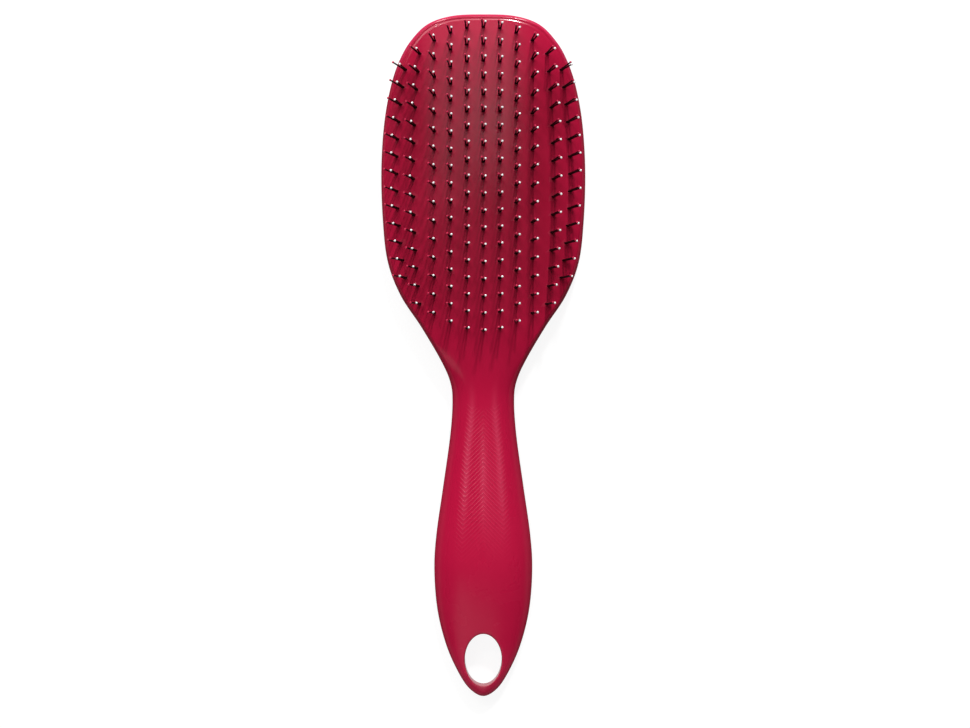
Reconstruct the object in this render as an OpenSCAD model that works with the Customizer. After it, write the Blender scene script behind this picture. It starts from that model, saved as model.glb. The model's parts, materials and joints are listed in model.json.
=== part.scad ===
// Detangling brush: a two-shell casing, eleven pin strips clamped behind the face, and ball tips.
// Millimetres. The brush lies on its back: +Z is the way the pins point, +Y is the head end.

/* [Head] */
// Greatest width of the head
head_w = 71.9; // [66:0.1:78]
// Length from the neck to the top of the head
head_l = 136; // [128:0.5:144]
// Height of the pin face above the rest plane, at the middle
face_z = 14; // [13.5:0.1:16]
// How far the face falls from the middle to the side edge
crown_drop = 3.1; // [2.4:0.1:3.4]
// How far the back rises from its middle to the side edge
back_crown = 4; // [3.4:0.1:4.4]
// How far inwards the rounded edge of the head reaches
edge_r = 2.8; // [2.4:0.1:3.2]
// Length over which the head's flat section turns into the handle's oval
blend_l = 25; // [22:1:25]

/* [Neck and handle] */
// Width of the neck
neck_w = 21.8; // [20:0.1:25]
// Height of the front at the neck
neck_top = 12.4; // [12:0.1:14]
// Height of the back at the neck
neck_bottom = 1.8; // [1:0.1:2.4]
// Length from the neck to the tip of the handle
handle_l = 104; // [96:0.5:116]
// Greatest width of the handle
handle_w = 34.6; // [31:0.1:38]
// Height of the front at the handle's swell
swell_top = 15.2; // [14:0.1:16.5]
// Height of the front at the tip
end_top = 9.6; // [9:0.1:11]
// Height of the back at the tip
end_bottom = 2.2; // [1.4:0.1:2.8]

/* [Casing] */
// Height of the seam between the two shells
seam_z = 6; // [5.6:0.1:6.2]
// Thickness of the casing walls
wall = 1.8; // [1.6:0.05:2]
// Length of the solid bridge across the neck
neck_bridge_l = 12; // [9:0.5:16]
// Solid length between the handle's hollow and the hang hole
end_bridge_l = 6.6; // [5.5:0.1:9]
// Depth shaved off the lowest point of the back to make the rest faces
rest_cut = 0.35; // [0.2:0.05:0.5]

/* [Hang hole] */
// Width of the oval hang hole
hang_w = 13; // [10:0.1:14]
// Length of the oval hang hole
hang_l = 18.8; // [16:0.1:20]
// Distance from the handle's tip to the middle of the hang hole
hang_from_tip = 13.3; // [12.6:0.1:16]

/* [Pins] */
// Length of a long pin above the face, at the middle of the head
long_pin_l = 13.5; // [12:0.5:18]
// Length of a short pin above the face, at the middle of the head
short_pin_l = 9.5; // [8:0.5:11.5]
// Diameter of a pin
pin_d = 0.5; // [0.4:0.05:0.6]
// Distance between the long and the short pin of a pair
pair_gap = 0.7; // [0.7:0.05:0.9]
// Lean of the short pins towards +X, in degrees
short_lean = 3; // [0:0.1:3]
// Diameter of a white ball tip
white_tip_d = 1; // [0.8:0.05:1.1]
// Diameter of a red ball tip
red_tip_d = 0.85; // [0.7:0.05:1]
// Diameter of the holes that the pin pairs stand in
pin_hole_d = 2; // [1.9:0.05:2.2]

/* [Strips and retainer] */
// Width of the rail of a pin strip
rail_w = 2.2; // [2:0.05:2.4]
// Thickness of the rail
rail_t = 1.6; // [1.2:0.05:1.7]
// Length of rail beyond the last pins
rail_margin = 0.9; // [0.6:0.05:1]
// Thickness of the retainer plate
retainer_t = 1.5; // [1.1:0.05:1.6]
// Gap between the rails and the underside of the face
rail_gap = 0.25; // [0.15:0.05:0.3]
// Gap above and below the retainer plate
retainer_gap = 0.15; // [0.1:0.05:0.2]
// Gap between the retainer's edge and the casing
side_gap = 0.4; // [0.3:0.05:0.6]

/* [Ribs and pegs] */
// Number of cross ribs that press on the retainer
rib_n = 4; // [3:1:5]
// Thickness of a cross rib
rib_t = 1.4; // [1:0.1:2]
// Diameter of the locating pegs
peg_d = 3; // [2.4:0.1:3.4]
// Height of the locating pegs above the seam
peg_h = 2.4; // [1.6:0.1:2.8]
// Clearance round and above a peg
peg_gap = 0.1; // [0.06:0.01:0.16]

/* [Hidden] */

// Crimson of the casing, near-black of the pins, and the two colours of the ball tips
casing_color = [0.66, 0.1, 0.22];
back_color = [0.78, 0.09, 0.28];
pin_color = [0.1, 0.05, 0.06];
retainer_color = [0.16, 0.13, 0.14];
white_color = [0.97, 0.97, 0.97];
red_color = [0.8, 0.12, 0.24];

// The origin is the middle of the footprint, so half of the length lies on each side of it
tip_y = -(head_l + handle_l) / 2;
top_y = tip_y + handle_l + head_l;
neck_y = tip_y + handle_l;

// Outline of the head from its top to the neck, as shares of its half width and its length
head_top_shares = [
    [0, 1], [0.306, 0.996], [0.545, 0.975], [0.709, 0.933], [0.818, 0.884],
    [0.904, 0.818], [0.971, 0.721], [1, 0.596]
];
// Below the widest place the first share runs from the neck's half width to the head's
head_taper_shares = [
    [0.976, 0.463], [0.906, 0.36], [0.723, 0.2735], [0.439, 0.194], [0.168, 0.109],
    [0.032, 0.0515], [0, 0]
];
// The handle down to its swell, from the neck's half width to its own
handle_swell_shares = [[0.125, 0.115], [0.516, 0.2885], [0.891, 0.452], [1, 0.572]];
// The handle from its swell to its tip, as shares of its half width and its length
handle_tip_shares = [[0.936, 0.707], [0.751, 0.829], [0.497, 0.923], [0.266, 0.977], [0, 1]];
outline_steps = 2;

// Shares of the rounded edge, and of the way on from there to the middle, at which the lofts have a ring
edge_shares = [0, 0.134, 0.5, 1];
// How far the edge of the head rises straight up before it rounds over, as a share of its height
edge_wall_share = 0.4;
middle_shares = [0.2, 0.45, 0.72];
back_middle_shares = [0.3, 0.65];
grip_hollow_shares = [0.4];
handle_roundness = 2.2;
// The middle line that the outline is drawn in towards stops these shares of the half widths from the ends
head_end_share = 0.89;
tip_end_share = 0.46;
// Where the handle is thickest, as a share of its length
swell_share = 0.53;

// Columns of pins from the middle outwards: pairs in each, and where they lie on the head
pair_counts = [19, 19, 18, 16, 15, 13];
column_shares = [0, 0.16, 0.319, 0.4765, 0.6815, 0.844];
column_end_shares = [0, 0.16, 0.319, 0.4765, 0.619, 0.759];
column_top_shares = [0.9632, 0.9603, 0.9485, 0.9287, 0.8949, 0.8544];
column_low_shares = [0.1846, 0.1904, 0.2074, 0.2287, 0.2522, 0.3199];
column_tilts = [0, 0, 1.5, 4.4, 8, 11];
columns = 5;
rail_stations = 8;
pin_sides = 3;
tip_sides = 3;
hole_sides = 4;
hang_sides = 28;
peg_sides = 48;
rib_stations = 8;
// How many skins a line through a loft may cross, which previews need
loft_convexity = 10;
// A ball tip ends in a flat foot this far below its middle, as a share of its radius
tip_foot_share = 0.8;

// Places of the ribs along the head, and of the pegs, as shares
rib_low_share = 0.3;
rib_high_share = 0.84;
neck_peg_share = 0.55;
end_peg_share = 0.58;
// The retainer's lower end, as a share of the head's length
retainer_low_share = 0.165;
// How far cuts run past what they cut, and how deep joined solids overlap
overrun = 1;

head_hw = head_w / 2;
neck_hw = neck_w / 2;
handle_hw = handle_w / 2;
swell_y = neck_y - handle_l * swell_share;
swell_bottom = -rest_cut;
spine_top = top_y - head_hw * head_end_share;
spine_low = tip_y + handle_hw * tip_end_share;
hang_y = tip_y + hang_from_tip;
hollow_low = hang_y + hang_l / 2 + end_bridge_l;
rail_top = -(wall + rail_gap);
rail_low = rail_top - rail_t;

// Smooth step from 0 at a to 1 at b
function ease(t) = t * t * (3 - 2 * t);
function glide(y, a, b) = ease(min(1, max(0, (y - a) / (b - a))));

// A smooth curve through four neighbouring points, between the middle two
function curve(a, b, c, d, t) =
    (2 * b + (c - a) * t + (2 * a - 5 * b + 4 * c - d) * t * t
    + (3 * b - 3 * c + d - a) * t * t * t) / 2;

outline_points = concat(
    [for (s = head_top_shares) [head_hw * s[0], neck_y + head_l * s[1]]],
    [for (s = head_taper_shares) [neck_hw + (head_hw - neck_hw) * s[0], neck_y + head_l * s[1]]],
    [for (s = handle_swell_shares) [neck_hw + (handle_hw - neck_hw) * s[0], neck_y - handle_l * s[1]]],
    [for (s = handle_tip_shares) [handle_hw * s[0], neck_y - handle_l * s[1]]]
);
last_point = len(outline_points) - 1;
function across(p) = [-p[0], p[1]];
function outline_point(i) =
    i < 0 ? across(outline_points[1])
    : i > last_point ? across(outline_points[last_point - 1])
    : outline_points[i];

// Right half of the outline, from the top of the head to the tip of the handle
outline = concat(
    [for (i = [0 : last_point - 1]) for (t = [0 : outline_steps - 1])
        curve(outline_point(i - 1), outline_point(i), outline_point(i + 1), outline_point(i + 2),
            t / outline_steps)],
    [outline_points[last_point]]
);
outline_widths = [for (p = outline) [p[1], p[0]]];
function half_width(y) = lookup(y, outline_widths);

// The part of the right half outline between two heights, with its ends cut square
function stretch(low, high) = concat(
    high < top_y ? [[half_width(high), high]] : [],
    [for (p = outline) if (p[1] > low && p[1] < high || p[1] == top_y && high >= top_y) p],
    low > tip_y ? [[half_width(low), low]] : [outline[len(outline) - 1]]
);

// Heights of the skins
function head_share(y) = glide(y, neck_y, neck_y + blend_l);
function face_height(x) = face_z - crown_drop * pow(abs(x) / head_hw, 3);
function back_height(x) = back_crown * pow(abs(x) / head_hw, 2) - rest_cut;
function swelled(y, at_neck, at_swell, at_tip) =
    y > swell_y ? at_swell + (at_neck - at_swell) * glide(y, swell_y, neck_y)
    : at_swell + (at_tip - at_swell) * glide(y, swell_y, tip_y);
function handle_top(y) = swelled(y, neck_top, swell_top, end_top);
function handle_low(y) = swelled(y, neck_bottom, swell_bottom, end_bottom);
function edge_rise(inset) =
    inset < edge_r ? edge_wall_share + (1 - edge_wall_share) * sqrt(1 - pow(1 - inset / edge_r, 2)) : 1;
function oval_rise(inset, reach) =
    pow(1 - pow(1 - inset / reach, handle_roundness), 1 / handle_roundness);

// Height of the front (side = 1) or back (side = -1) skin at a point drawn in from the outline
function skin_z(p, inset, reach, side) =
    let (share = head_share(p[1]),
        head_z = side > 0 ? face_height(p[0]) : back_height(p[0]),
        grip_z = side > 0 ? handle_top(p[1]) : handle_low(p[1]))
    seam_z + share * (head_z - seam_z) * edge_rise(inset)
    + (1 - share) * (grip_z - seam_z) * oval_rise(inset, reach);

// A point of the outline drawn in towards the middle line of the brush
function middle_of(p) = [0, min(spine_top, max(spine_low, p[1]))];
function reach_of(p) = norm(p - middle_of(p));
function drawn_in(p, inset) = p + (middle_of(p) - p) * inset / reach_of(p);

// One ring of a loft, lowered or raised by depth towards the seam
function ring(points, insets, side, depth) = [
    for (i = [0 : len(points) - 1])
        let (p = points[i], q = drawn_in(p, insets[i]))
        [q[0], q[1], skin_z(q, insets[i], reach_of(p), side) - side * depth]
];
function flat_ring(points, inset, z) = [
    for (p = points) let (q = drawn_in(p, inset)) [q[0], q[1], z]
];
function inner_insets(points, from, share) = [
    for (p = points) from + (reach_of(p) - from) * share
];
function same_insets(points, inset) = [for (p = points) inset];

// Closed solid through right-half rings, each mirrored to the left, from the lowest ring to the highest
module loft(rings) {
    n = len(rings[0]);
    top_on_axis = rings[0][0][0] == 0 ? 1 : 0;
    low_on_axis = rings[0][n - 1][0] == 0 ? 1 : 0;
    m = 2 * n - top_on_axis - low_on_axis;
    points = [for (r = rings) each concat(r,
        [for (i = [n - 1 - low_on_axis : -1 : top_on_axis]) [-r[i][0], r[i][1], r[i][2]]])];
    function other(i) = i == 0 && top_on_axis == 1 || i == n - 1 && low_on_axis == 1 ? i
        : 2 * n - 1 - low_on_axis - i;
    function strip(i, base) = concat(
        [base + i, base + i + 1],
        other(i + 1) == i + 1 ? [] : [base + other(i + 1)],
        other(i) == i ? [] : [base + other(i)]
    );
    function turned(f) = [for (i = [len(f) - 1 : -1 : 0]) f[i]];
    top_base = m * (len(rings) - 1);
    faces = concat(
        [for (i = [0 : n - 2]) turned(strip(i, 0))],
        [for (r = [0 : len(rings) - 2]) for (i = [0 : m - 1])
            let (a = r * m + i, b = r * m + (i + 1) % m)
            each [[a, b, b + m], [a, b + m, a + m]]],
        [for (i = [0 : n - 2]) strip(i, top_base)]
    );
    polyhedron(points = points, faces = faces, convexity = loft_convexity);
}

// Rings of the outer skin, from the seam to the middle line
function outer_rings(side) = concat(
    [flat_ring(outline, 0, seam_z)],
    [for (s = edge_shares) if (s > 0) ring(outline, same_insets(outline, edge_r * s), side, 0)],
    [for (s = side > 0 ? middle_shares : back_middle_shares)
        ring(outline, inner_insets(outline, edge_r, s), side, 0)]
);
// Rings of a hollow between two heights, open through the seam
function hollow_rings(low, high, side, shares) =
    let (points = stretch(low, high))
    concat(
        [flat_ring(points, wall, seam_z - side * overrun)],
        [ring(points, same_insets(points, wall), side, wall)],
        [ring(points, same_insets(points, max(edge_r, wall + overrun / 2)), side, wall)],
        [for (s = shares) ring(points, inner_insets(points, edge_r, s), side, wall)]
    );
function upside_down(rings) = [for (i = [len(rings) - 1 : -1 : 0]) rings[i]];

module half_casing(side) {
    rings = outer_rings(side);
    loft(side > 0 ? rings : upside_down(rings));
}
module hollow(low, high, side, shares) {
    rings = hollow_rings(low, high, side, shares);
    loft(side > 0 ? rings : upside_down(rings));
}
module hollows(side) {
    hollow(neck_y + neck_bridge_l / 2, top_y, side, side > 0 ? middle_shares : back_middle_shares);
    hollow(hollow_low, neck_y - neck_bridge_l / 2, side, grip_hollow_shares);
}

module hang_hole() {
    points = [for (i = [0 : hang_sides - 1])
        [hang_w / 2 * cos(360 * i / hang_sides), hang_l / 2 * sin(360 * i / hang_sides)]];
    translate([0, hang_y, -overrun])
        linear_extrude(swell_top + 2 * overrun) polygon(points);
}

// Places of the pegs that line the shells up
peg_places = [
    for (side = [-1, 1]) each [
        [side * neck_hw * neck_peg_share, neck_y],
        [side * half_width(hollow_low) * end_peg_share, hollow_low - end_bridge_l / 2]
    ]
];

// Columns are numbered from the left; rank is the count of columns out from the middle
function rank(k) = abs(k - columns - 1);
function column_side(k) = k > columns ? 1 : -1;
function column_x(k) = column_side(k) * head_hw * column_shares[rank(k)];
function column_bow(k) = column_side(k) * head_hw * (column_shares[rank(k)] - column_end_shares[rank(k)]);
function column_top(k) = neck_y + head_l * column_top_shares[rank(k)];
function column_low(k) = neck_y + head_l * column_low_shares[rank(k)];
function column_tilt(k) = column_side(k) * column_tilts[rank(k)];
// How far a column bows in at y, measured in the plane of its strip
function bow_at(k, y) =
    let (mid = (column_top(k) + column_low(k)) / 2, half = (column_top(k) - column_low(k)) / 2)
    -column_bow(k) * pow((y - mid) / half, 2) / cos(column_tilt(k));
function pair_y(k, i) =
    column_top(k) - i * (column_top(k) - column_low(k)) / (pair_counts[rank(k)] - 1);

// Puts its children on the face at a column, turned to stand square on it there
module on_column(k) {
    translate([column_x(k), 0, face_height(column_x(k))]) rotate([0, column_tilt(k), 0]) children();
}
module at_pairs(k) {
    for (i = [0 : pair_counts[rank(k)] - 1])
        translate([bow_at(k, pair_y(k, i)), pair_y(k, i), 0]) children();
}

// The pins grow longer where the face falls away, so that their tips lie level
function level_length(k, length) =
    length + (face_z - face_height(column_x(k))) / cos(column_tilt(k));

module pin(length, side) {
    translate([side * pair_gap / 2, 0, 0]) rotate([0, side > 0 ? short_lean : 0, 0])
        translate([0, 0, rail_top - rail_t / 4])
            cylinder(h = length - rail_top + rail_t / 4, d = pin_d, $fn = pin_sides);
}

module pin_strip(k) {
    far = column_top(k) + rail_margin;
    near = column_low(k) - rail_margin;
    ys = [for (i = [0 : rail_stations]) near + (far - near) * i / rail_stations];
    right = [for (y = ys) [bow_at(k, y) + rail_w / 2, y]];
    left = [for (i = [rail_stations : -1 : 0]) [bow_at(k, ys[i]) - rail_w / 2, ys[i]]];
    straight = [[rail_w / 2, near], [rail_w / 2, far], [-rail_w / 2, far], [-rail_w / 2, near]];
    color(pin_color) on_column(k) {
        translate([0, 0, rail_low])
            linear_extrude(rail_t) polygon(column_bow(k) == 0 ? straight : concat(right, left));
        at_pairs(k) {
            pin(level_length(k, long_pin_l), -1);
            pin(level_length(k, short_pin_l), 1);
        }
    }
}

// A small ball with a flat foot, which sits on the end of a pin
module ball_tip(d) {
    r = d / 2;
    foot_r = r * sqrt(1 - tip_foot_share * tip_foot_share);
    foot = [for (i = [0 : tip_sides - 1])
        [foot_r * cos(360 * i / tip_sides), foot_r * sin(360 * i / tip_sides), 0]];
    waist = [for (i = [0 : tip_sides - 1])
        [r * cos(360 * i / tip_sides), r * sin(360 * i / tip_sides), r * tip_foot_share]];
    crown = [[0, 0, r * tip_foot_share + r]];
    n = tip_sides;
    faces = concat(
        [[for (i = [0 : n - 1]) i]],
        [for (i = [0 : n - 1]) let (j = (i + 1) % n) each [[i, n + j, j], [i, n + i, n + j]]],
        [for (i = [0 : n - 1]) [n + i, 2 * n, n + (i + 1) % n]]
    );
    polyhedron(points = concat(foot, waist, crown), faces = faces);
}
module ball_tips(length, side, d) {
    for (k = [1 : 2 * columns + 1]) on_column(k) at_pairs(k)
        translate([side * pair_gap / 2, 0, 0]) rotate([0, side > 0 ? short_lean : 0, 0])
            translate([0, 0, level_length(k, length)]) ball_tip(d);
}
module white_ball_tips() {
    color(white_color) ball_tips(short_pin_l, 1, white_tip_d);
}
module red_ball_tips() {
    color(red_color) ball_tips(long_pin_l, -1, red_tip_d);
}

// Corners of a rail's underside in the cross section of the head, on the right half
function rail_corner(steps_out, outer) =
    let (k = columns + 1 + steps_out, tilt = column_tilt(k),
        bow = outer ? 0 : column_bow(k) / cos(tilt),
        along = (outer ? rail_w / 2 : -rail_w / 2) - bow,
        depth = rail_low - retainer_gap)
    [column_x(k) + along * cos(tilt) + depth * sin(tilt),
        face_height(column_x(k)) - along * sin(tilt) + depth * cos(tilt)];
seat_right = concat(
    [rail_corner(0, true)],
    [for (i = [1 : columns]) each [rail_corner(i, false), rail_corner(i, true)]]
);
seat_end = seat_right[len(seat_right) - 1];
seat_slope = tan(column_tilt(2 * columns + 1));
seat_line = concat(seat_right, [[head_hw, seat_end[1] - (head_hw - seat_end[0]) * seat_slope]]);
// The retainer's top line from left to right, lowered by a depth
function seat(depth) = [
    for (i = [-len(seat_line) : len(seat_line) - 1])
        let (p = i < 0 ? seat_line[-1 - i] : seat_line[i])
        [i < 0 ? -p[0] : p[0], p[1] - depth]
];
function backwards(points) = [for (i = [len(points) - 1 : -1 : 0]) points[i]];

// A section across the head, drawn in X and Z, run along Y between two places
module run_along(low, high) {
    translate([0, high, 0]) rotate([90, 0, 0]) linear_extrude(high - low) children();
}
// A plan outline, drawn in by inset and cut square at low, as tall as the casing
module plan_block(low, inset) {
    right = [for (p = stretch(low, top_y)) drawn_in(p, inset)];
    left = [for (p = backwards(right)) if (p[0] > 0) [-p[0], p[1]]];
    linear_extrude(face_z) polygon(concat(right, left));
}

module retainer_plate() {
    low = neck_y + head_l * retainer_low_share;
    color(retainer_color) intersection() {
        run_along(low, top_y) polygon(concat(seat(0), backwards(seat(retainer_t))));
        plan_block(low, wall + side_gap);
    }
}

// A cross rib of the back shell at y, from inside the back wall up to the retainer
module cross_rib(y) {
    reach = half_width(y) - wall - side_gap;
    floor_xs = [for (i = [0 : rib_stations]) reach * (2 * i / rib_stations - 1)];
    floor_line = [for (x = floor_xs) [x, back_height(x) + wall / 2]];
    top_line = [for (p = seat(retainer_t + retainer_gap)) if (abs(p[0]) < reach) p];
    right_end = top_line[len(top_line) - 1];
    end_z = right_end[1] - (reach - right_end[0]) * seat_slope;
    run_along(y - rib_t / 2, y + rib_t / 2)
        polygon(concat(floor_line, [[reach, end_z]], backwards(top_line), [[-reach, end_z]]));
}

module front_shell() {
    color(casing_color) difference() {
        half_casing(1);
        hollows(1);
        hang_hole();
        for (p = peg_places) translate([p[0], p[1], seam_z - overrun])
            cylinder(h = overrun + peg_h + peg_gap, d = peg_d + 2 * peg_gap, $fn = peg_sides);
        for (k = [1 : 2 * columns + 1]) on_column(k) at_pairs(k)
            translate([0, 0, -wall - overrun])
                cylinder(h = wall + 2 * overrun, d = pin_hole_d, $fn = hole_sides);
    }
}

module back_shell() {
    rib_low = neck_y + head_l * rib_low_share;
    rib_high = neck_y + head_l * rib_high_share;
    color(back_color) {
        difference() {
            half_casing(-1);
            hollows(-1);
            hang_hole();
            translate([-head_hw, tip_y, -rest_cut - overrun])
                cube([head_w, head_l + handle_l, rest_cut + overrun]);
        }
        for (i = [0 : rib_n - 1]) cross_rib(rib_low + (rib_high - rib_low) * i / (rib_n - 1));
        for (p = peg_places) translate([p[0], p[1], seam_z - overrun])
            cylinder(h = overrun + peg_h, d = peg_d, $fn = peg_sides);
    }
}

front_shell();
back_shell();
retainer_plate();
white_ball_tips();
red_ball_tips();
for (k = [1 : 11]) pin_strip(k);
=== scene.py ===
import bisect
import json
import math

import bpy
from mathutils import Matrix, Vector

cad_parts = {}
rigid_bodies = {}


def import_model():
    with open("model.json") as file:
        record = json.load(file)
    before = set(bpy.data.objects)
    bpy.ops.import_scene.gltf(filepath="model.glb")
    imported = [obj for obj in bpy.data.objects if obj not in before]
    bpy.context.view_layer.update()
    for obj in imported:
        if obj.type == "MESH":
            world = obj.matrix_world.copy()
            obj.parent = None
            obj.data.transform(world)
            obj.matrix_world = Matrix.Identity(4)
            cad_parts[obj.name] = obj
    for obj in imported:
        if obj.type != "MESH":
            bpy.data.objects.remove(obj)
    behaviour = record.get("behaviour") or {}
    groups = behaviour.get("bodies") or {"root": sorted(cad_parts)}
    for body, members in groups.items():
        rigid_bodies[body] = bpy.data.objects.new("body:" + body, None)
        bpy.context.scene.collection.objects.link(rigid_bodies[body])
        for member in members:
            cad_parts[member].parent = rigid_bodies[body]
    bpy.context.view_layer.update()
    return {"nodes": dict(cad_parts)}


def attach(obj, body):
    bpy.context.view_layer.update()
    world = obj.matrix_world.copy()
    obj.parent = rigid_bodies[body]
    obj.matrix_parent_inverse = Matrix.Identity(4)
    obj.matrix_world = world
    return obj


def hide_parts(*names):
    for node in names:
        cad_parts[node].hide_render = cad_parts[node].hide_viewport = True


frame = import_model()
mm = 0.001


# sizes and shares that all the pieces use, in millimetres, with +Y at the head and +Z the way the pins point
brush = {
    "headWidth": 71.9, "headLength": 136, "neckWidth": 21.8, "handleLength": 104, "handleWidth": 34.6,
    "faceHeight": 14, "crownDrop": 3.1, "crownPower": 3, "backCrown": 4, "restCut": 0.35,
    "edgeRadius": 1.8, "edgeWallShare": 0.4, "blendLength": 25,
    "neckTop": 12.4, "neckBottom": 1.8, "swellTop": 15.2, "endTop": 9.6, "endBottom": 2.2,
    "seamHeight": 6, "wall": 1.8, "handleRoundness": 2.2, "swellShare": 0.53,
    "hangWidth": 13, "hangLength": 18.8, "hangFromTip": 13.3, "endBridge": 6.6,
    "middleTopShare": 0.89, "middleLowShare": 0.46, "outlineSteps": 8, "fineSteps": 40,
}
headHalf = brush["headWidth"] / 2
neckHalf = brush["neckWidth"] / 2
handleHalf = brush["handleWidth"] / 2
tipY = -(brush["headLength"] + brush["handleLength"]) / 2
topY = -tipY
neckY = tipY + brush["handleLength"]
swellY = neckY - brush["handleLength"] * brush["swellShare"]
middleTop = topY - headHalf * brush["middleTopShare"]
middleLow = tipY + handleHalf * brush["middleLowShare"]
hangY = tipY + brush["hangFromTip"]
hollowLow = hangY + brush["hangLength"] / 2 + brush["endBridge"]
seamHeight = brush["seamHeight"]

# the outline is a smooth curve through these shares of the half widths and lengths, from the top to the tip
headTopShares = [(0, 1), (0.306, 0.996), (0.545, 0.975), (0.709, 0.933), (0.818, 0.884), (0.904, 0.818),
                 (0.971, 0.721), (1, 0.596)]
headTaperShares = [(0.976, 0.463), (0.906, 0.36), (0.723, 0.2735), (0.439, 0.194), (0.168, 0.109),
                   (0.032, 0.0515), (0, 0)]
handleSwellShares = [(0.125, 0.115), (0.516, 0.2885), (0.891, 0.452), (1, 0.572)]
handleTipShares = [(0.936, 0.707), (0.751, 0.829), (0.497, 0.923), (0.266, 0.977), (0, 1)]


def outlineKnots():
    head, handle = brush["headLength"], brush["handleLength"]
    knots = [(headHalf * w, neckY + head * h) for w, h in headTopShares]
    knots += [(neckHalf + (headHalf - neckHalf) * w, neckY + head * h) for w, h in headTaperShares]
    knots += [(neckHalf + (handleHalf - neckHalf) * w, neckY - handle * h) for w, h in handleSwellShares]
    knots += [(handleHalf * w, neckY - handle * h) for w, h in handleTipShares]
    return [Vector(k) for k in knots]


def smoothCurve(knots, steps):
    # the curve goes on across the middle line, so that it is round at both ends
    first, last = knots[1].copy(), knots[-2].copy()
    first.x, last.x = -first.x, -last.x
    run = [first] + knots + [last]
    points = []
    for a, b, c, d in zip(run, run[1:], run[2:], run[3:]):
        for i in range(steps):
            t = i / steps
            points.append((2 * b + (c - a) * t + (2 * a - 5 * b + 4 * c - d) * t ** 2
                           + (3 * b - 3 * c + d - a) * t ** 3) / 2)
    return points + [knots[-1]]


outline = smoothCurve(outlineKnots(), brush["outlineSteps"])
fineOutline = smoothCurve(outlineKnots(), brush["fineSteps"])[::-1]
fineHeights = [p.y for p in fineOutline]


def halfWidth(y):
    i = min(max(bisect.bisect_left(fineHeights, y), 1), len(fineOutline) - 1)
    a, b = fineOutline[i - 1], fineOutline[i]
    return max(0, a.x + (b.x - a.x) * (y - a.y) / max(b.y - a.y, 1e-9))


def ease(t):
    t = min(1, max(0, t))
    return t * t * (3 - 2 * t)


def glide(value, start, end):
    return ease((value - start) / (end - start))


def faceHeight(x):
    return brush["faceHeight"] - brush["crownDrop"] * (abs(x) / headHalf) ** brush["crownPower"]


def backHeight(x):
    return brush["backCrown"] * (abs(x) / headHalf) ** 2 - brush["restCut"]


def swelled(y, neck, swell, tip):
    if y > swellY:
        return swell + (neck - swell) * glide(y, swellY, neckY)
    return swell + (tip - swell) * glide(y, swellY, tipY)


# height of the front skin (side 1) or the back skin (side -1), a little way in from the outline
def skinHeight(x, y, inset, reach, side):
    share = glide(y, neckY, neckY + brush["blendLength"])
    edge = brush["edgeRadius"]
    rounded = math.sqrt(max(0, 1 - (1 - inset / edge) ** 2)) if inset < edge else 1
    edgeRise = brush["edgeWallShare"] + (1 - brush["edgeWallShare"]) * rounded
    power = brush["handleRoundness"]
    ovalRise = max(0, 1 - max(0, 1 - inset / reach) ** power) ** (1 / power)
    if side > 0:
        head = faceHeight(x)
        handle = swelled(y, brush["neckTop"], brush["swellTop"], brush["endTop"])
    else:
        head = backHeight(x)
        handle = swelled(y, brush["neckBottom"], -brush["restCut"], brush["endBottom"])
    return (seamHeight + share * (head - seamHeight) * edgeRise
            + (1 - share) * (handle - seamHeight) * ovalRise)


# where on the middle line a point of the outline looks to, and the point that lies this far in on that way
def middleOf(p):
    return Vector((0, min(middleTop, max(middleLow, p.y))))


def inwards(p, inset):
    middle = middleOf(p)
    return p + (middle - p) * (inset / (p - middle).length)


# an operator acts on all that is selected, so only the pieces that it is for are picked
def pick(*pieces):
    for o in bpy.context.view_layer.objects:
        o.select_set(False)
    for piece in pieces:
        piece.select_set(True)
    bpy.context.view_layer.objects.active = pieces[0]


def editAll(piece):
    pick(piece)
    bpy.ops.object.mode_set(mode="EDIT")
    bpy.ops.mesh.select_all(action="SELECT")


def applyModifier(piece, name):
    pick(piece)
    bpy.ops.object.modifier_apply(modifier=name)


# a finished piece sits at the origin, with its place in its mesh
def settle(piece, angle=None):
    pick(piece)
    bpy.ops.object.transform_apply(location=True, rotation=True, scale=True)
    if angle is None:
        bpy.ops.object.shade_smooth()
    else:
        bpy.ops.object.shade_smooth_by_angle(angle=math.radians(angle))
    piece.select_set(False)


def finishPiece(piece, name, material, slot, *nodes):
    piece.name = name
    piece.data.name = name
    piece.data.materials.clear()
    piece.data.materials.append(material)
    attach(piece, "root")
    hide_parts(*nodes)


def joinPieces(parts):
    pick(*parts)
    bpy.ops.object.join()
    return parts[0]


def faceOutwards():
    bpy.ops.mesh.select_all(action="SELECT")
    bpy.ops.mesh.normals_make_consistent(inside=False)
    bpy.ops.object.mode_set(mode="OBJECT")


# a flat grid with one vertex for each point, whose vertices are then drawn to their places and closed up
def drawGrid(rows, closeGap):
    bpy.ops.mesh.primitive_grid_add(x_subdivisions=len(rows[0]) - 1, y_subdivisions=len(rows) - 1, size=1)
    piece = bpy.context.object
    piece.data.vertices.foreach_set("co", [c * mm for row in rows for p in row for c in p])
    editAll(piece)
    bpy.ops.mesh.remove_doubles(threshold=closeGap * mm)
    bpy.ops.mesh.dissolve_degenerate(threshold=closeGap * mm)
    faceOutwards()
    return piece


def subtract(piece, cutter, sliver=0.001):
    cut = piece.modifiers.new("cut", "BOOLEAN")
    cut.operation = "DIFFERENCE"
    cut.solver = "MANIFOLD"
    cut.object = cutter
    applyModifier(piece, "cut")
    bpy.data.objects.remove(cutter)
    # the cut leaves a few slivers without area, which are closed up
    editAll(piece)
    bpy.ops.mesh.dissolve_degenerate(threshold=sliver * mm)
    bpy.ops.object.mode_set(mode="OBJECT")


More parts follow.
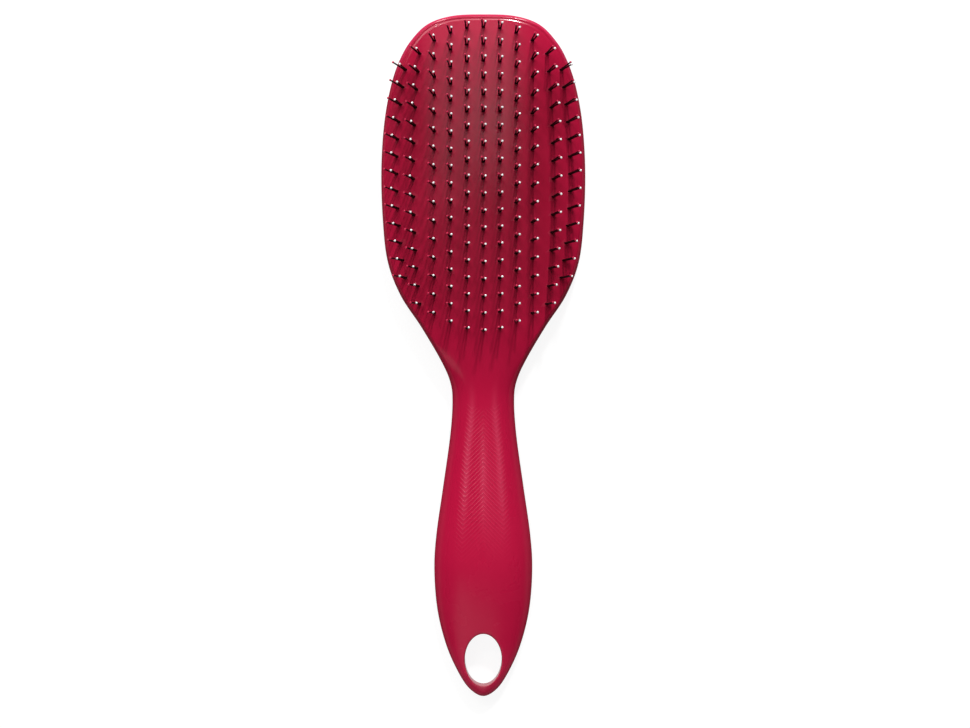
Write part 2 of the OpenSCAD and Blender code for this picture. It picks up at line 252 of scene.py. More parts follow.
# the moulded grip: fine ribs run in a W across the handle and fade out towards its end
grip = {
    "top": -15.0, "low": -80.4, "pitch": 1.553, "rowsPerRib": 10, "ribHeight": 0.065, "crestPower": 8,
    "spineShareTop": 0.36, "spineShareLow": 0.44, "edgeShareTop": 0.54, "edgeShareLow": 0.595,
    "sharesEnd": -36.0, "blendTop": -6.0, "blendLow": -92.0,
    "firstRib": -17.2, "firstRibDrop": 2.6, "firstRibFade": 1.5, "startShare": 0.75, "growLength": 14,
    "fadeFrom": -52.0, "fadeTo": -78.0, "sideFade": (-0.5, 0.2),
    "swellHeight": 0.04, "swellWidth": 1.0, "swellFade": (-40, -70), "middleSwell": (-18, -40),
    "spineSwell": (-6, -26),
}
gripRows = round((grip["top"] - grip["low"]) / grip["pitch"]) * grip["rowsPerRib"]


def gripShare(y, top, low):
    return top + (low - top) * glide(y, grip["top"], grip["sharesEnd"])


def gripSpine(y):
    return halfWidth(y) * gripShare(y, grip["spineShareTop"], grip["spineShareLow"])


def gripEdge(y):
    return halfWidth(y) * gripShare(y, grip["edgeShareTop"], grip["edgeShareLow"])


def gripBlend(y):
    return min(glide(y, grip["blendTop"], grip["top"]), glide(y, grip["blendLow"], grip["low"]))


# how far a row that crosses the outline at y runs towards the head at a place x across it
def gripLean(x, y):
    spine, edge, half = gripSpine(y), gripEdge(y), halfWidth(y)
    x = abs(x)
    if x < spine:
        lean = spine / 2 - x
    elif x < edge:
        lean = x - spine * 1.5
    else:
        lean = (edge - spine * 1.5) * (half - x) / (half - edge)
    return lean * gripBlend(y)


def ribRise(row, x, y):
    phase = (row % grip["rowsPerRib"]) / grip["rowsPerRib"]
    crest = (0.5 + 0.5 * math.cos(2 * math.pi * phase)) ** grip["crestPower"]
    edge = gripEdge(y)
    start = grip["firstRib"] - grip["firstRibDrop"] * (1 - min(1, abs(x) / edge))
    grown = grip["startShare"] + (1 - grip["startShare"]) * glide(y, start, start - grip["growLength"])
    shown = glide(y, start + grip["firstRibFade"], start) * (1 - glide(y, grip["fadeFrom"], grip["fadeTo"]))
    within = 1 - glide(abs(x), edge + grip["sideFade"][0], edge + grip["sideFade"][1])
    return grip["ribHeight"] * crest * grown * shown * within


# the ribs lie on three soft swellings, one along the middle line and one along each spine
def swellShare(x, y):
    width = grip["swellWidth"]
    middle = math.exp(-(x / width) ** 2) * glide(y, *grip["middleSwell"])
    spines = math.exp(-((abs(x) - gripSpine(y)) / width) ** 2) * glide(y, *grip["spineSwell"])
    return (1 - glide(y, *grip["swellFade"])) * (middle + spines)


def gripSwell(x, y):
    return grip["swellHeight"] * swellShare(x, y)


# the rounded edge has its rings at these insets in millimetres, and the rest of the way in is shared out
shell = {
    "edgeInsets": [0, 0.05, 0.13, 0.25, 0.42, 0.63, 0.87, 1.12, 1.37, 1.6, 1.8, 1.95, 2.1, 2.25, 2.4, 2.6,
                   2.8, 3.1],
    "plainShares": (0, 0.26, 0.5, 1), "ringCounts": (5, 5, 9), "innerShares": (1, 0.8, 0.6, 0.4, 0.2),
    "grooveInset": 2.1, "grooveWidth": 0.42, "grooveDepth": 0.16, "grooveFade": (78, 108),
    "seamChamfer": 0.22, "seamStep": 1.5, "hollowBlend": 5, "closeGap": 0.002, "smoothAngle": 32,
}


def shellStations():
    above = [(p, None) for p in outline if p.y > grip["top"]]
    step = (grip["top"] - grip["low"]) / gripRows
    heights = [grip["top"] - i * step for i in range(gripRows)]
    along = [(Vector((halfWidth(y), y)), i) for i, y in enumerate(heights)]
    below = [(p, None) for p in outline if p.y <= grip["low"]]
    return above + along + below


stations = shellStations()
print("outline:", len(stations), "stations a side")


# rings between the rounded edge and the middle line; on the handle they follow the edge and spine of the grip
def innerWays(p):
    reach = (p - middleOf(p)).length
    start = shell["edgeInsets"][-1]
    marks = [start + (reach - start) * s for s in shell["plainShares"]]
    if middleLow < p.y < neckY + brush["blendLength"]:
        onGrip = [start, reach - gripEdge(p.y), reach - gripSpine(p.y), reach]
        blend = gripBlend(p.y)
        marks = [a * blend + b * (1 - blend) for a, b in zip(onGrip, marks)]
    ways = []
    for low, high, count in zip(marks, marks[1:], shell["ringCounts"]):
        ways += [low + (high - low) * (i + 1) / count for i in range(count)]
    return ways


def outerSkin(p, row, inset, side):
    reach = (p - middleOf(p)).length
    inset = min(inset, reach)
    q = inwards(p, inset)
    if side > 0 and middleLow < p.y < grip["blendTop"]:
        q.y += gripLean(q.x, p.y)
        reach = halfWidth(q.y)
        q.x = q.x * reach / halfWidth(p.y)
        inset = reach - abs(q.x)
    z = skinHeight(q.x, q.y, inset, reach, side)
    if side < 0:
        return (q.x, q.y, max(0, z))  # the back is flat where it rests
    groove = math.exp(-((inset - shell["grooveInset"]) / shell["grooveWidth"]) ** 2)
    z -= shell["grooveDepth"] * groove * glide(q.y, *shell["grooveFade"])
    if p.y < grip["blendTop"]:
        z += gripSwell(q.x, q.y)
    if row is not None:
        z += ribRise(row, q.x, q.y)
    return (q.x, q.y, z)


def innerSkin(p, share, side):
    reach = (p - middleOf(p)).length
    wall = brush["wall"]
    inset = wall + (reach - wall) * share
    q = inwards(p, inset)
    room = glide(q.y, hollowLow, hollowLow + shell["hollowBlend"])
    z = skinHeight(q.x, q.y, inset, reach, side)
    return (q.x, q.y, seamHeight + (z - side * wall - seamHeight) * room)


def seamRow(inset):
    return [(*inwards(p, inset), seamHeight) for p, row in stations]


def makeShell(side):
    chamfer = shell["seamChamfer"]
    rows = [[innerSkin(p, share, side) for p, row in stations] for share in shell["innerShares"]]
    rows.append(seamRow(brush["wall"]))
    rows.append(seamRow(chamfer))
    ways = [shell["edgeInsets"] + innerWays(p) for p, row in stations]
    outer = [[outerSkin(p, row, way[i], side) for (p, row), way in zip(stations, ways)]
             for i in range(len(ways[0]))]
    nearest = side * seamHeight + chamfer * shell["seamStep"]
    outer[0] = [(x, y, seamHeight + side * chamfer) for x, y, z in outer[0]]
    outer[1] = [(x, y, side * max(side * z, nearest)) for x, y, z in outer[1]]
    rows += outer
    mirrored = [row + [(-x, y, z) for x, y, z in reversed(row)] for row in rows]
    return drawGrid(mirrored, shell["closeGap"])


frontShell = makeShell(1)
print("front shell drawn:", len(frontShell.data.polygons), "faces")
backShell = makeShell(-1)
print("back shell drawn:", len(backShell.data.polygons), "faces")


# the hang hole's cutter is an oval bar that flares where it leaves the skin, which leaves a rounded lip
hangHole = {
    "sides": 72, "lip": 0.8, "lipSteps": 7, "lipAngle": 66, "lipSink": 0.9,
    "past": 3, "over": 2, "end": 12, "closeGap": 0.001,
}


def hangOval(out):
    ring = []
    for i in range(hangHole["sides"] + 1):
        a = 2 * math.pi * i / hangHole["sides"]
        ring.append(((brush["hangWidth"] / 2 + out) * math.cos(a),
                     hangY + (brush["hangLength"] / 2 + out) * math.sin(a)))
    return ring


# the cutter runs from past the seam, through the wall of one shell and on to its end outside
def hangCutter(side):
    lip = hangHole["lip"]

    def skinAt(x, y):
        half = max(halfWidth(y), 0.01)  # never 0, since the height is worked out from shares of it
        return skinHeight(x, y, max(0, half - abs(x)), half, side)

    def flatOval(out, z):
        return [(x, y, z) for x, y in hangOval(out)]

    def skinOval(out, lift):
        return [(x, y, skinAt(x, y) + side * lift) for x, y in hangOval(out)]

    start = seamHeight - side * hangHole["past"]
    end = seamHeight + side * hangHole["end"]
    points = hangHole["sides"] + 1
    rings = [[(0, hangY, start)] * points, flatOval(0, start)]
    for i in range(hangHole["lipSteps"] + 1):
        turn = math.radians(hangHole["lipAngle"]) * i / hangHole["lipSteps"]
        rings.append(skinOval(lip * (1 - math.cos(turn)), lip * math.sin(turn) - lip * hangHole["lipSink"]))
    rings += [skinOval(lip, hangHole["over"]), flatOval(lip, end), [(0, hangY, end)] * points]
    return drawGrid(rings, hangHole["closeGap"])


subtract(frontShell, hangCutter(1))
subtract(backShell, hangCutter(-1))
print("hang hole cut")


# the columns of pins are listed from the middle outwards, as shares of the head; sizes are in millimetres
pins = {
    "counts": [19, 19, 18, 16, 15, 13],
    "placeShares": [0, 0.16, 0.319, 0.4765, 0.6815, 0.844],
    "endShares": [0, 0.16, 0.319, 0.4765, 0.619, 0.759],
    "topShares": [0.9632, 0.9603, 0.9485, 0.9287, 0.8949, 0.8544],
    "lowShares": [0.1846, 0.1904, 0.2074, 0.2287, 0.2522, 0.3199],
    "tilts": [0, 0, 1.5, 4.4, 8, 11],
    "columns": 11, "longLength": 13.5, "shortLength": 9.5, "gap": 0.58, "longLean": -0.8, "shortLean": 3,
    "sides": 8, "rootWidth": 0.72, "rootTop": 0.2, "collarTop": 0.45, "collarShare": 0.88,
    "shaftFrom": 0.9, "shaftWidth": 0.58, "shaftFlare": 0.04, "endWidth": 0.54,
    "whiteTip": 0.84, "redTip": 0.8, "tipFoot": 0.8, "tipSegments": 10, "tipRings": 6,
    "holeWidth": 0.84, "holeSides": 12, "holeOver": 1,
    "railWidth": 2.2, "railHeight": 1.6, "railGap": 0.25, "railMargin": 0.9, "railSteps": 24,
    "railBevel": 0.18, "railBevelSteps": 2, "smoothAngle": 40,
}
middleColumn = (pins["columns"] + 1) // 2


def columnInfo(number):
    rank = abs(number - middleColumn)
    side = 1 if number > middleColumn else -1
    x = side * headHalf * pins["placeShares"][rank]
    return {
        "x": x, "z": faceHeight(x), "count": pins["counts"][rank],
        "low": neckY + brush["headLength"] * pins["lowShares"][rank],
        "top": neckY + brush["headLength"] * pins["topShares"][rank],
        "longer": (brush["faceHeight"] - faceHeight(x)) / math.cos(math.radians(pins["tilts"][rank])),
        "bow": side * headHalf * (pins["placeShares"][rank] - pins["endShares"][rank]),
        "tilt": math.radians(side * pins["tilts"][rank]),
    }


def bowAt(column, y):
    middle = (column["top"] + column["low"]) / 2
    half = (column["top"] - column["low"]) / 2
    return -column["bow"] * ((y - middle) / half) ** 2 / math.cos(column["tilt"])


# the middle line of a column, on the face and turned square on it
def columnPlace(column):
    turn = Matrix.Rotation(column["tilt"], 4, "Y")
    return Matrix.Translation((column["x"] * mm, 0, column["z"] * mm)) @ turn


def pairPlaces(column):
    top, low, last = column["top"], column["low"], column["count"] - 1
    heights = [top - i * (top - low) / last for i in range(last + 1)]
    return [columnPlace(column) @ Matrix.Translation((bowAt(column, y) * mm, y * mm, 0)) for y in heights]


def besideMiddle(side):
    return Matrix.Translation((side * pins["gap"] / 2 * mm, 0, 0))


columns = [columnInfo(number) for number in range(1, pins["columns"] + 1)]


# a rod through stacked rings: the first ring is a circle, and each next one is extruded from it and scaled
def turnedRod(sides, rings):
    start, width = rings[0]
    bpy.ops.mesh.primitive_circle_add(vertices=sides, radius=width / 2 * mm, fill_type="NGON",
                                      location=(0, 0, start * mm))
    rod = bpy.context.object
    bpy.ops.object.transform_apply(location=True)
    editAll(rod)
    for (low, before), (high, after) in zip(rings, rings[1:]):
        bpy.ops.mesh.extrude_region_move(TRANSFORM_OT_translate={"value": (0, 0, (high - low) * mm)})
        bpy.ops.transform.resize(value=(after / before, after / before, 1), center_override=(0, 0, high * mm))
    faceOutwards()
    return rod


def copyTo(model, place):
    copy = model.copy()
    copy.data = model.data.copy()
    bpy.context.collection.objects.link(copy)
    copy.matrix_world = place @ model.matrix_world
    return copy


# every pin stands in its own round hole through the face; those on the left of the pairs are cut first
over, width = pins["holeOver"], pins["holeWidth"]
holeModel = turnedRod(pins["holeSides"], [(-brush["wall"] - over, width), (over, width)])
for side in (-1, 1):
    shift = besideMiddle(side)
    holes = [copyTo(holeModel, place @ shift) for column in columns for place in pairPlaces(column)]
    subtract(frontShell, joinPieces(holes))
    print("pin holes cut")
bpy.data.objects.remove(holeModel)


# where the casing is steep and polished, and where it gets painted highlights, kept at each vertex for its
# material; a slope of 1 is level
gloss = {
    "steepSlopes": (0.9, 0.45), "rimSlopes": (0.75, 0.83), "faceSlopes": (0.965, 0.99), "rimFrom": (100, 114),
    "holePolish": 0.45, "holeFade": (0.02, 0.06),
    # the next two lines give the strengths of the painted highlights and of the painted reflection at the
    # handle's end
    "line": 0.35, "lineDim": 0.55, "lineDimWidth": 1.1, "swell": 0.4, "gripSlope": 0.5, "gripMargin": 1,
    "lit": 0.08, "litSide": 1.2, "litFrom": (-24, -44), "tip": 0.2, "tipFrom": (-98, -114),
}


# painted highlights: the grip's rib crests and swellings and a strip a little right of its middle are painted
# paler, and a painted reflection lies on the handle at its end
def gripPaintedHighlights(v):
    x, y, z = v.co / mm
    if y < grip["low"]:
        return gloss["tip"] * glide(y, *gloss["tipFrom"])
    if y > grip["blendTop"] or v.normal.z < gloss["gripSlope"] or abs(x) > gripEdge(y) + gloss["gripMargin"]:
        return 0
    half = halfWidth(y)
    rise = z - skinHeight(x, y, half - abs(x), half, 1) - gripSwell(x, y)
    dimmed = 1 - gloss["lineDim"] * math.exp(-(x / gloss["lineDimWidth"]) ** 2)
    line = min(1, max(0, rise / grip["ribHeight"])) * dimmed
    spine = gripSpine(y)
    lit = glide(x, 0, gloss["litSide"]) * (1 - glide(x, spine - gloss["litSide"], spine))
    lit *= glide(y, *gloss["litFrom"]) * (1 - glide(y, grip["fadeFrom"], grip["fadeTo"]))
    return gloss["line"] * line + gloss["swell"] * swellShare(x, y) + gloss["lit"] * lit


# the rim of the head and the wall of the hang hole came glossy out of the mould
def polishShare(v):
    x, y, z = v.co / mm
    slope = v.normal.z
    rim = glide(slope, *gloss["rimSlopes"]) * (1 - glide(slope, *gloss["faceSlopes"]))
    rim *= glide(y, *gloss["rimFrom"])
    fromHole = math.hypot(2 * x / brush["hangWidth"], 2 * (y - hangY) / brush["hangLength"]) - 1
    return max(rim, gloss["holePolish"] * (1 - glide(abs(fromHole), *gloss["holeFade"])))


def steepness(v):
    return glide(abs(v.normal.z), *gloss["steepSlopes"])


def markCasing(piece, paintedHighlights):
    for name, measure in (("steepness", steepness), ("polish", polishShare), ("paintedHighlights", paintedHighlights)):
        marks = piece.data.attributes.new(name, "FLOAT", "POINT")
        marks.data.foreach_set("value", [measure(v) for v in piece.data.vertices])


settle(frontShell, shell["smoothAngle"])
settle(backShell, shell["smoothAngle"])
markCasing(frontShell, gripPaintedHighlights)
markCasing(backShell, lambda v: 0)
print("casing marked for its material")


# noise that stays the same size on every piece, for moulded grain and handling marks
grainNoise = {"grainDetail": 3, "markDetail": 6, "markRoughness": 0.62, "markDistortion": 0.5, "markRatio": 6}


def buildGrainGroup():
    group = bpy.data.node_groups.new("mouldedGrain", "ShaderNodeTree")
    for way, names in (("INPUT", ("Grain Size", "Mark Size")), ("OUTPUT", ("Grain", "Marks"))):
        for name in names:
            group.interface.new_socket(name=name, in_out=way, socket_type="NodeSocketFloat")
    nodes, links = group.nodes, group.links
    inputs = nodes.new("NodeGroupInput")
    outputs = nodes.new("NodeGroupOutput")
    place = nodes.new("ShaderNodeTexCoord")
    grain = nodes.new("ShaderNodeTexNoise")
    grain.inputs["Detail"].default_value = grainNoise["grainDetail"]
    marks = nodes.new("ShaderNodeTexNoise")
    marks.inputs["Detail"].default_value = grainNoise["markDetail"]
    marks.inputs["Roughness"].default_value = grainNoise["markRoughness"]
    marks.inputs["Distortion"].default_value = grainNoise["markDistortion"]
    for noise, size, result in ((grain, "Grain Size", "Grain"), (marks, "Mark Size", "Marks")):
        links.new(place.outputs["Object"], noise.inputs["Vector"])
        links.new(inputs.outputs[size], noise.inputs["Scale"])
        links.new(noise.outputs["Fac"], outputs.inputs[result])
    return group


grainGroup = buildGrainGroup()


def newMaterial(name, grainSize, markSize):
    material = bpy.data.materials.new(name)
    material.use_nodes = True
    nodes, links = material.node_tree.nodes, material.node_tree.links
    grain = nodes.new("ShaderNodeGroup")
    grain.node_tree = grainGroup
    grain.inputs["Grain Size"].default_value = grainSize
    grain.inputs["Mark Size"].default_value = markSize
    return material, nodes, links, nodes["Principled BSDF"], grain


# a socket takes another node's output, a colour or a number
def feed(links, socket, value):
    if isinstance(value, bpy.types.NodeSocket):
        links.new(value, socket)
    elif isinstance(value, tuple):
        socket.default_value = value + (1,)
    else:
        socket.default_value = value


def ramp(nodes, links, source, fromRange, toRange, smooth=False):
    node = nodes.new("ShaderNodeMapRange")
    node.interpolation_type = "SMOOTHSTEP" if smooth else "LINEAR"
    node.inputs["From Min"].default_value, node.inputs["From Max"].default_value = fromRange
    node.inputs["To Min"].default_value, node.inputs["To Max"].default_value = toRange
    links.new(source, node.inputs["Value"])
    return node.outputs["Result"]


def mix(nodes, links, kind, factor, first, second):
    node = nodes.new("ShaderNodeMix")
    node.data_type = kind
    links.new(factor, node.inputs["Factor"])
    feed(links, node.inputs["A"], first)
    feed(links, node.inputs["B"], second)
    return node.outputs["Result"]


def combine(nodes, links, operation, *values):
    node = nodes.new("ShaderNodeMath")
    node.operation = operation
    for socket, value in zip(node.inputs, values):
        feed(links, socket, value)
    return node.outputs["Value"]


def attributeValue(nodes, name):
    node = nodes.new("ShaderNodeAttribute")
    node.attribute_name = name
    return node.outputs["Fac"]


def addGrainBump(nodes, links, shader, grain, height):
    bump = nodes.new("ShaderNodeBump")
    bump.inputs["Distance"].default_value = height
    links.new(grain.outputs["Grain"], bump.inputs["Height"])
    links.new(bump.outputs["Normal"], shader.inputs["Normal"])


# crimson moulding: polished on the head, satin on the handle, with faint rubbed spots, painted shade on the
# pin face and painted highlights on the top rim and the grip
# the fades run between two places in millimetres, and the bump is in metres
casingLook = {
    # in the next line, the second colour is painted shade from the pins and the third is the colour of
    # painted highlights
    "colour": (0.5, 0.0064, 0.0475), "pinShadeColour": (0.292, 0.0052, 0.0265), "paintedHighlightColour": (0.66, 0.07, 0.14),
    "rubbed": (0.55, 0.012, 0.058), "rubbedMarks": (0.35, 0.7), "rubbedShare": 0.25,
    # the top rim's colour is painted light on the edge that faces the lamps
    "topRimLitColour": (0.55, 0.011, 0.08), "topRimLitFade": (92, 112), "rimRoughness": 0.8,
    "headRoughness": (0.15, 0.22), "handleRoughness": (0.23, 0.3), "roughMarks": (0.3, 0.75),
    "ior": 1.49, "specular": 0.18, "coatRoughness": 0.08, "coatIor": 1.5,
    "satinFade": (-6, -26), "topFade": (80, 119), "topShare": 0.72, "neckFade": (36, -28),
    "sideFade": (22, 36), "sideShare": 0.42, "grainSize": 5200, "markSize": 46, "grainBump": 0.0000035,
}


def casingMaterial(name, look):
    material, nodes, links, shader, grain = newMaterial(name, look["grainSize"], look["markSize"])
    place = nodes.new("ShaderNodeTexCoord")
    axes = nodes.new("ShaderNodeSeparateXYZ")
    links.new(place.outputs["Object"], axes.inputs["Vector"])
    across = combine(nodes, links, "ABSOLUTE", axes.outputs["X"])
    marks = grain.outputs["Marks"]
    steep = attributeValue(nodes, "steepness")

    def fade(source, name, most=1):
        return ramp(nodes, links, source, [end * mm for end in look[name]], (0, most), True)

    # painted shade from the pins: the pin face is painted darker in its middle and clears towards the top,
    # the sides and the neck, where less of it lies in the pins' shade
    along = axes.outputs["Y"]
    above, below = fade(along, "topFade", look["topShare"]), fade(along, "neckFade")
    beside = fade(across, "sideFade", look["sideShare"])
    clear = combine(nodes, links, "MAXIMUM", combine(nodes, links, "MAXIMUM", above, beside), below)
    colour = mix(nodes, links, "RGBA", clear, look["pinShadeColour"], look["colour"])
    # painted light: the steep edge round the top of the head, which faces the lamps, is painted a brighter
    # magenta
    rim = combine(nodes, links, "MULTIPLY", steep, fade(along, "topRimLitFade"))
    colour = mix(nodes, links, "RGBA", rim, colour, look["topRimLitColour"])
    # painted highlights and a painted reflection: the grip's crests, swellings and lit strip, and the
    # handle's end, are mixed towards a paler pink
    colour = mix(nodes, links, "RGBA", attributeValue(nodes, "paintedHighlights"), colour, look["paintedHighlightColour"])
    rubbed = ramp(nodes, links, marks, look["rubbedMarks"], (0, look["rubbedShare"]))
    colour = mix(nodes, links, "RGBA", rubbed, colour, look["rubbed"])
    links.new(colour, shader.inputs["Base Color"])

    polished = ramp(nodes, links, marks, look["roughMarks"], look["headRoughness"])
    satin = ramp(nodes, links, marks, look["roughMarks"], look["handleRoughness"])
    rough = mix(nodes, links, "FLOAT", fade(along, "satinFade"), polished, satin)
    rough = mix(nodes, links, "FLOAT", steep, rough, look["rimRoughness"])
    links.new(rough, shader.inputs["Roughness"])
    addGrainBump(nodes, links, shader, grain, look["grainBump"])
    shader.inputs["IOR"].default_value = look["ior"]
    shader.inputs["Specular IOR Level"].default_value = look["specular"]
    # only the edge at the top of the head and the wall of the hang hole are polished bright
    links.new(attributeValue(nodes, "polish"), shader.inputs["Coat Weight"])
    shader.inputs["Coat Roughness"].default_value = look["coatRoughness"]
    shader.inputs["Coat IOR"].default_value = look["coatIor"]
    return material


backLook = dict(casingLook, colour=(0.5, 0.0095, 0.05), pinShadeColour=(0.5, 0.0095, 0.05))
crimson = casingMaterial("crimsonMoulding", casingLook)
crimsonBack = casingMaterial("crimsonBackMoulding", backLook)
finishPiece(frontShell, "frontShell", crimson, "casing", "front_shell")
finishPiece(backShell, "backShell", crimsonBack, "back_casing", "back_shell")
print("casing finished")


# plain moulded finishes for the pins, their ball tips and the plate inside
pinLook = {
    "colour": (0.006, 0.0018, 0.0025), "shade": (0.014, 0.003, 0.005), "roughness": (0.5, 0.65),
    "grainSize": 3000, "grainBump": 0.000004, "specular": 0.08,
}
whiteLook = {
    "colour": (0.96, 0.96, 0.96), "shade": (0.91, 0.91, 0.91), "roughness": (0.2, 0.32),
    "grainSize": 2500, "grainBump": 0.000003, "specular": 0.5,
}
redLook = {
    "colour": (0.56, 0.02, 0.075), "shade": (0.5, 0.015, 0.06), "roughness": (0.35, 0.45),
    "grainSize": 2500, "grainBump": 0.000003, "specular": 0.25,
}
plateLook = {
    "colour": (0.02, 0.016, 0.018), "shade": (0.035, 0.028, 0.03), "roughness": (0.4, 0.6),
    "grainSize": 1500, "grainBump": 0.00001, "specular": 0.5,
}
shadeMarks = (0.35, 0.7)
roughMarks = (0.3, 0.7)


def mouldedMaterial(name, look):
    markSize = look["grainSize"] / grainNoise["markRatio"]
    material, nodes, links, shader, grain = newMaterial(name, look["grainSize"], markSize)
    marks = grain.outputs["Marks"]
    shaded = ramp(nodes, links, marks, shadeMarks, (0, 1))
    links.new(mix(nodes, links, "RGBA", shaded, look["colour"], look["shade"]), shader.inputs["Base Color"])
    links.new(ramp(nodes, links, marks, roughMarks, look["roughness"]), shader.inputs["Roughness"])
    addGrainBump(nodes, links, shader, grain, look["grainBump"])
    shader.inputs["Specular IOR Level"].default_value = look["specular"]
    return material


pinNylon = mouldedMaterial("darkNylon", pinLook)
whiteResin = mouldedMaterial("whiteBallResin", whiteLook)
redResin = mouldedMaterial("redBallResin", redLook)
plateResin = mouldedMaterial("plateResin", plateLook)


# a pin is a little thicker at its root, and its foot ends inside the rail
def makePin(length):
    root, shaft, end = pins["rootWidth"], pins["shaftWidth"], pins["endWidth"]
    foot = -brush["wall"] - pins["railGap"] - pins["railHeight"] / 4
    rings = [(foot, root), (pins["rootTop"], root), (pins["collarTop"], root * pins["collarShare"]),
             (pins["shaftFrom"], shaft + pins["shaftFlare"]), (length / 2, (shaft + end) / 2), (length, end)]
    return turnedRod(pins["sides"], rings)


def makeBall(width, length):
    radius = width / 2
    middle = length + radius * pins["tipFoot"]
    bpy.ops.mesh.primitive_uv_sphere_add(segments=pins["tipSegments"], ring_count=pins["tipRings"],
                                         radius=radius * mm, location=(0, 0, middle * mm))
    ball = bpy.context.object
    bpy.ops.object.transform_apply(location=True)
    editAll(ball)
    bpy.ops.mesh.select_all(action="DESELECT")
    bpy.ops.object.mode_set(mode="OBJECT")
    # the lowest point alone is lifted onto the end of the pin, which makes the ball's foot nearly flat
    lowest = min(ball.data.vertices, key=lambda v: v.co.z)
    lowest.select = True
    bpy.ops.object.mode_set(mode="EDIT")
    bpy.ops.transform.translate(value=(0, 0, radius * (1 - pins["tipFoot"]) * mm))
    bpy.ops.object.mode_set(mode="OBJECT")
    return ball


# the pins of a pair lean apart a little, the short one more
def pinTurn(side):
    lean = math.radians(pins["shortLean"] if side > 0 else pins["longLean"])
    return besideMiddle(side) @ Matrix.Rotation(lean, 4, "Y")


def makeRail(column):
    low, top = column["low"] - pins["railMargin"], column["top"] + pins["railMargin"]
    bpy.ops.mesh.primitive_grid_add(x_subdivisions=1, y_subdivisions=pins["railSteps"], size=1)
    rail = bpy.context.object
    rail.scale = (pins["railWidth"] * mm, (top - low) * mm, 1)
    rail.location = (0, (top + low) / 2 * mm, -(brush["wall"] + pins["railGap"] + pins["railHeight"]) * mm)
    bpy.ops.object.transform_apply(location=True, rotation=True, scale=True)
    for v in rail.data.vertices:
        v.co.x += bowAt(column, v.co.y / mm) * mm
    editAll(rail)
    bpy.ops.mesh.extrude_region_move(TRANSFORM_OT_translate={"value": (0, 0, pins["railHeight"] * mm)})
    faceOutwards()
    soften = rail.modifiers.new("soften", "BEVEL")
    soften.width = pins["railBevel"] * mm
    soften.segments = pins["railBevelSteps"]
    soften.limit_method = "ANGLE"
    applyModifier(rail, "soften")
    rail.matrix_world = columnPlace(column)
    return rail


# the pins grow longer where the face falls away, so that their tips lie level
longTurn, shortTurn = pinTurn(-1), pinTurn(1)
redBalls, whiteBalls = [], []
for number, column in enumerate(columns, 1):
    longLength, shortLength = pins["longLength"] + column["longer"], pins["shortLength"] + column["longer"]
    longPin, shortPin = makePin(longLength), makePin(shortLength)
    redModel, whiteModel = makeBall(pins["redTip"], longLength), makeBall(pins["whiteTip"], shortLength)
    parts = [makeRail(column)]
    for place in pairPlaces(column):
        parts.append(copyTo(longPin, place @ longTurn))
        parts.append(copyTo(shortPin, place @ shortTurn))
        redBalls.append(copyTo(redModel, place @ longTurn))
        whiteBalls.append(copyTo(whiteModel, place @ shortTurn))
    strip = joinPieces(parts)
    settle(strip, pins["smoothAngle"])
    finishPiece(strip, f"pinStrip{number}", pinNylon, "pins", f"pin_strip_{number}")
    for model in (longPin, shortPin, redModel, whiteModel):
        bpy.data.objects.remove(model)
whiteTips = joinPieces(whiteBalls)
settle(whiteTips)
finishPiece(whiteTips, "whiteBallTips", whiteResin, "white_tips", "white_ball_tips")
redTips = joinPieces(redBalls)
settle(redTips)
finishPiece(redTips, "redBallTips", redResin, "red_tips", "red_ball_tips")
plate = frame["nodes"]["retainer_plate"]
for materialSlot in plate.material_slots:
    materialSlot.material = plateResin
print("pins and tips made")


# floor and dome, in metres
studio = {
    "floorWidth": 4, "floorDrop": 0.0002, "floorColour": (0.15, 0.15, 0.15), "floorRoughness": 0.9,
    "floorGlow": 0.9, "ceiling": 0.06, "horizon": 0.15, "horizonHeight": (0, 0.1),
}


# the floor's white is a glow that only the camera and reflections see, so that it lights nothing
def makeFloor():
    bpy.ops.mesh.primitive_plane_add(size=studio["floorWidth"], location=(0, 0, -studio["floorDrop"]))
    floor = bpy.context.object
    floor.name = "floor"
    material = bpy.data.materials.new("paleFloor")
    material.use_nodes = True
    nodes, links = material.node_tree.nodes, material.node_tree.links
    shader = nodes["Principled BSDF"]
    feed(links, shader.inputs["Base Color"], studio["floorColour"])
    feed(links, shader.inputs["Roughness"], studio["floorRoughness"])
    feed(links, shader.inputs["Emission Color"], (1, 1, 1))
    rays = nodes.new("ShaderNodeLightPath")
    seen = combine(nodes, links, "MAXIMUM", rays.outputs["Is Camera Ray"], rays.outputs["Is Glossy Ray"])
    seen = combine(nodes, links, "MAXIMUM", seen, rays.outputs["Is Transmission Ray"])
    glow = combine(nodes, links, "MULTIPLY", seen, studio["floorGlow"])
    links.new(glow, shader.inputs["Emission Strength"])
    floor.data.materials.append(material)


# a dim dome: the camera sees it white all over, and reflections see it white at the horizon
def makeWorld():
    world = bpy.data.worlds.new("studioDome")
    world.use_nodes = True
    nodes, links = world.node_tree.nodes, world.node_tree.links
    sky = nodes["Background"]
    feed(links, sky.inputs["Color"], (1, 1, 1))
    place = nodes.new("ShaderNodeTexCoord")
    axes = nodes.new("ShaderNodeSeparateXYZ")
    links.new(place.outputs["Generated"], axes.inputs["Vector"])
    rays = nodes.new("ShaderNodeLightPath")
    up, fromTo, ceiling = axes.outputs["Z"], studio["horizonHeight"], studio["ceiling"]
    light = ramp(nodes, links, up, fromTo, (studio["horizon"], ceiling), True)
    mirrored = ramp(nodes, links, up, fromTo, (1, ceiling), True)
    mirrorRay = combine(nodes, links, "MAXIMUM", rays.outputs["Is Glossy Ray"],
                        rays.outputs["Is Transmission Ray"])
    strength = mix(nodes, links, "FLOAT", mirrorRay, light, mirrored)
    strength = mix(nodes, links, "FLOAT", rays.outputs["Is Camera Ray"], strength, 1)
    links.new(strength, sky.inputs["Strength"])
    bpy.context.scene.world = world


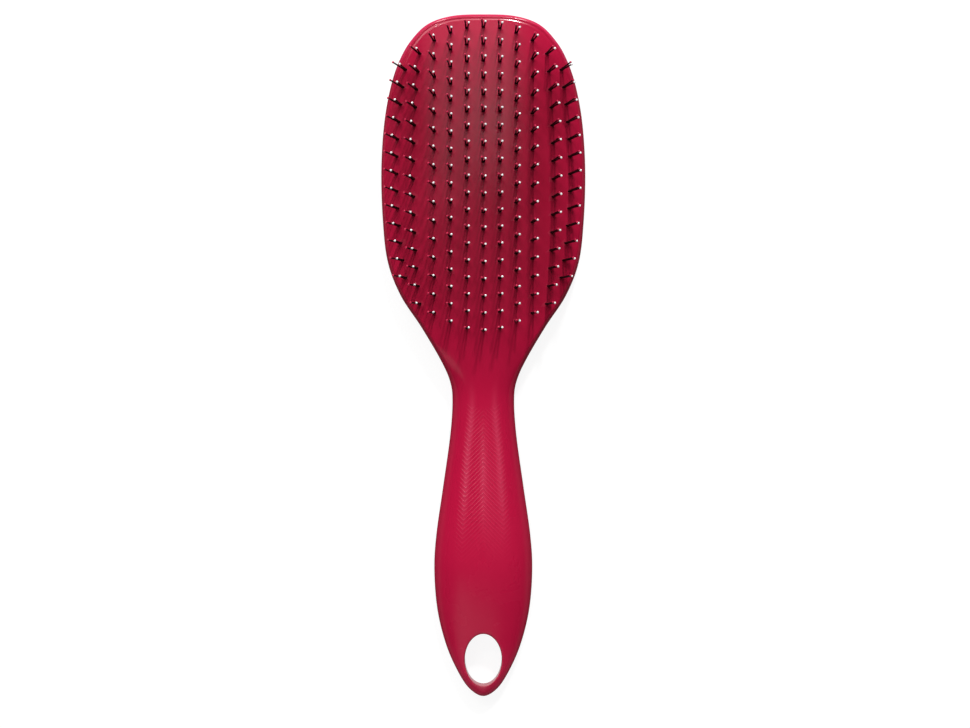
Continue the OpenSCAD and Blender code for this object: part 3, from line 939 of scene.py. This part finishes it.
# area lamps: places, sizes and aims in metres, powers in watts
lamps = {
    "key": {"place": (0.165, 0.885, 0.92), "size": (0.08, 0.08), "power": 8.6, "aim": (0, 0.05, 0.014)},
    "soft": {"place": (-0.3, 0.83, 0.964), "size": (1.1, 0.8), "power": 7.2, "aim": (0, 0.03, 0.014)},
    "side": {"place": (-0.275, 0.61, 1.114), "size": (0.06, 0.06), "power": 1.3, "aim": (0, 0.05, 0.014)},
    "card": {"place": (-0.045, 0.219, 0.62), "size": (0.18, 0.182), "power": 0.205, "aim": (0, 0.06, 0.014)},
    "strip": {"place": (0.02, 0.219, 0.62), "size": (0.055, 0.182), "power": 0.067, "aim": (0, 0.06, 0.014)},
    "left": {"place": (-0.39, 1.23, 0.25), "size": (0.2, 0.42), "power": 3.6, "aim": (0, 0.1, 0.014)},
    "right": {"place": (0.31, 1.26, 0.25), "size": (0.18, 0.42), "power": 3.8, "aim": (0, 0.1, 0.014)},
    "fill": {"place": (-0.15, -0.58, 0.61), "size": (0.7, 0.45), "power": 1.25, "aim": (0, -0.1, 0.01)},
}


def makeLamp(name, look):
    data = bpy.data.lights.new(name, "AREA")
    data.shape = "RECTANGLE"
    data.size, data.size_y = look["size"]
    data.energy = look["power"]
    lamp = bpy.data.objects.new(name, data)
    bpy.context.collection.objects.link(lamp)
    lamp.location = look["place"]
    lamp.rotation_euler = (Vector(look["aim"]) - Vector(look["place"])).to_track_quat("-Z", "Y").to_euler()


# the camera looks straight down
cameraSetup = {"place": (0.0006, -0.0027, 0.634), "lens": 65.95, "sensor": 36, "clip": (0.01, 20)}


def makeCamera():
    data = bpy.data.cameras.new("camera")
    data.sensor_width = cameraSetup["sensor"]
    data.lens = cameraSetup["lens"]
    data.clip_start, data.clip_end = cameraSetup["clip"]
    camera = bpy.data.objects.new("camera", data)
    camera.location = cameraSetup["place"]
    bpy.context.collection.objects.link(camera)
    bpy.context.scene.camera = camera


makeFloor()
makeWorld()
for kind, look in lamps.items():
    makeLamp(kind + "Lamp", look)
makeCamera()
bpy.context.scene.view_settings.view_transform = "Standard"
print("studio set")
